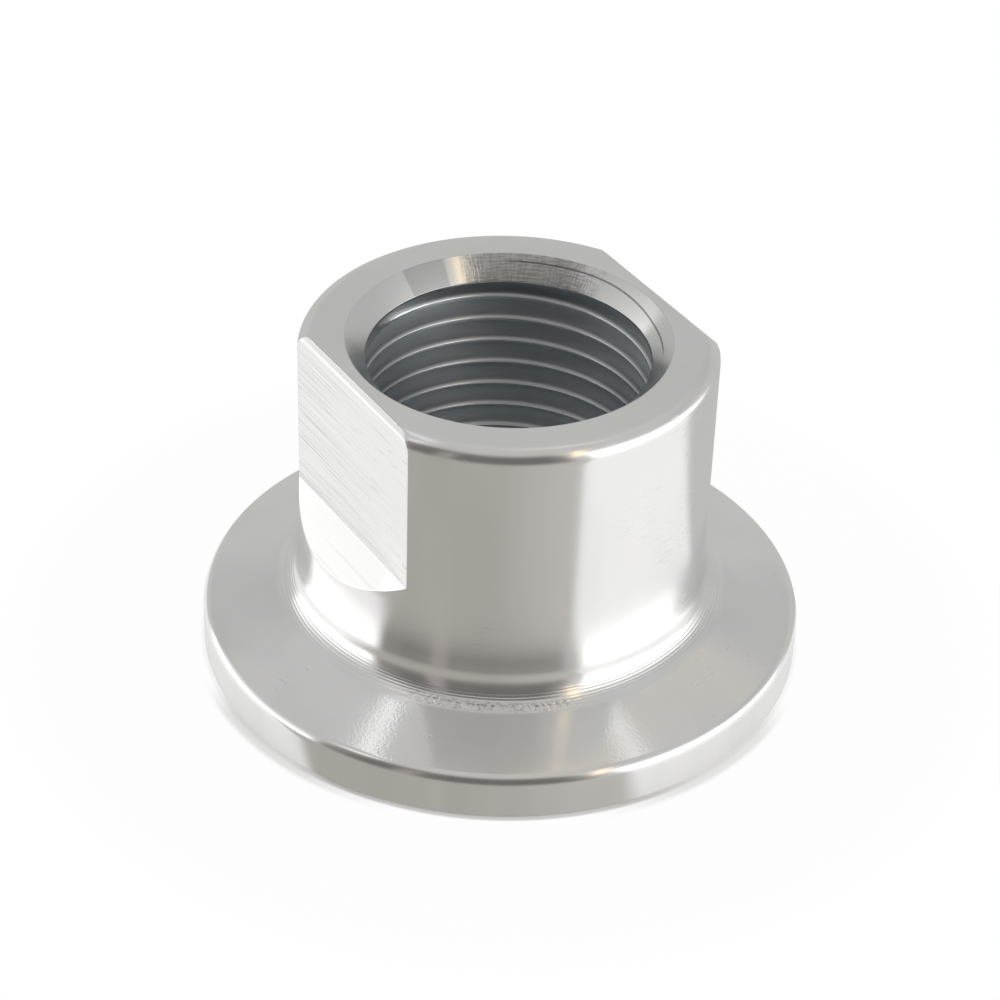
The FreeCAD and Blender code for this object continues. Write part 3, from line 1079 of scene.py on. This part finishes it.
corner_places = [(side, end, 0) for side, end in ((-1, -1), (1, -1), (1, 1), (-1, 1))]
floor_mesh = bpy.data.meshes.new("floor")
floor_mesh.from_pydata([Vector(place) * FLOOR_HALF for place in corner_places], [], [(0, 1, 2, 3)])
floor = bpy.data.objects.new("floor", floor_mesh)
bpy.context.scene.collection.objects.link(floor)
floor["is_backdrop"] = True

paper = Finish(bpy.data.materials.new("white_paper"))
floor_place = paper.node("ShaderNodeTexCoord", None, None, "Object")
to_picture = {"Vector": floor_place, "Angle": -math.radians(PICTURE_RIGHT)}
from_right = paper.node("ShaderNodeVectorRotate", {"rotation_type": "Z_AXIS"}, to_picture)
to_right, away = paper.node("ShaderNodeSeparateXYZ", None, {0: from_right}, ("X", "Y"))
floor_azimuth = away.math("ARCTAN2", away, to_right) * (180 / math.pi)
from_axis = paper.node("ShaderNodeVectorMath", {"operation": "LENGTH"}, {0: floor_place}, "Value") * (1 / MM)
print("floor, m:", 2 * FLOOR_HALF, "square")

# %% Shade on the mirrored paper
SHADE_BACK_EDGE = (-15.8, -16.8)
SHADE_RIGHT_EDGE, SHADE_RIGHT_FADE = ((11, -20), (28, -37.5)), (1.0, -1.0)
SHADE_FRONT, SHADE_LIGHTENS = (0, -10), (-100, -62)
BY_RIM = (25, 21)
BEHIND_FROM, BEHIND_TO = (6, 14), (150, 140)
(edge_x, edge_y), (far_x, far_y) = SHADE_RIGHT_EDGE
edge_length = math.hypot(far_x - edge_x, far_y - edge_y)
edge_right, edge_away = (far_x - edge_x) / edge_length, (far_y - edge_y) / edge_length
past_edge = (away * (1 / MM) - edge_y) * edge_right - (to_right * (1 / MM) - edge_x) * edge_away
in_front = ramp(paper, away * (1 / MM), *SHADE_BACK_EDGE) * ramp(paper, floor_azimuth, *SHADE_FRONT)
shaded = ramp(paper, past_edge, *SHADE_RIGHT_FADE) * in_front
shade = mixed(paper, ramp(paper, floor_azimuth, *SHADE_LIGHTENS), SHADED_PAPER, LIGHTER_SHADE)
# Painted shadow by the rim, and painted shade on the paper behind the part.
lit = mixed(paper, ramp(paper, from_axis, *BY_RIM), WHITE, SHADOWED_PAPER_BY_RIM)
mirrored = mixed(paper, shaded, lit, shade)
behind = ramp(paper, floor_azimuth, *BEHIND_FROM) * ramp(paper, floor_azimuth, *BEHIND_TO)
mirrored = mixed(paper, behind, mirrored, DISTANT_SHADED_PAPER)
print("the shade's right edge is drawn through two points that lie apart by, mm:", round(edge_length, 1))

# %% Paper that is plain white and still takes a shadow
PLAIN_NEAR, NEAR_REACH = 0.97, (36, 30)
SHADOW_SHARE, SHADOW_REACH, MIRRORED_SHADOW = 0.42, (1.0, 0.5), 0.1
SIDE_FROM, SIDE_TO = (16, 40), (70, 56)
CONTACT_SHARE, FRONT_CONTACT_SHARE = 0.15, 0.65
CONTACT_REACH, CONTACT_FRONT = (0.3, 0.08), (42, 24)
UNDER_PART = (14, 16)
camera_ray, glossy_ray, clear_ray = paper.node(
    "ShaderNodeLightPath", None, None, ("Is Camera Ray", "Is Glossy Ray", "Is Transmission Ray")
)
matt = paper.node("ShaderNodeBsdfDiffuse", None, {"Color": PAPER})
seen_colour = mixed(paper, glossy_ray, WHITE, mirrored)
plain = paper.node("ShaderNodeEmission", None, {"Color": seen_colour, "Strength": 1.0})
from_front = abs(floor_azimuth + 90)
from_rim = from_axis - FLANGE_R
beside = ramp(paper, from_front, *SIDE_FROM) * ramp(paper, from_front, *SIDE_TO)
shadow = ramp(paper, from_rim, *SHADOW_REACH) * beside
contact = ramp(paper, from_front, *CONTACT_FRONT) * (FRONT_CONTACT_SHARE - CONTACT_SHARE) + CONTACT_SHARE
plain_share = 1 - ramp(paper, from_axis, *NEAR_REACH) * (1 - PLAIN_NEAR)
plain_share = plain_share - contact * ramp(paper, from_rim, *CONTACT_REACH)
outside = ramp(paper, from_axis, *UNDER_PART)
seen_share = (camera_ray + clear_ray) * outside * (plain_share - shadow * SHADOW_SHARE)
mirrored_share = glossy_ray * (plain_share - shadow * MIRRORED_SHADOW)
surface = paper.node("ShaderNodeMixShader", None, {0: seen_share + mirrored_share, 1: matt, 2: plain})
paper.node("ShaderNodeOutputMaterial", None, {"Surface": surface})
floor_mesh.materials.append(paper.owner)
print("nodes in the floor's paper:", len(paper.tree.nodes))

# %% [markdown]
# ## Into the frame
#
# The skin takes the CAD solid's place on the same body, at the same spot. The two boxes are written out,
# so that it can be seen that the skin has the solid's size.

# %% Put the piece in the CAD frame
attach(adapter, "root")
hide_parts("adapter")
print(adapter.name, "rides on root and stands for the CAD node adapter")

# %% Write the two boxes
boxes = {"cad": cad_box, "skin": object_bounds()}
for name, box in boxes.items():
    print(name, "box, mm:", [[round(float(side) / MM, 2) for side in corner] for corner in box])
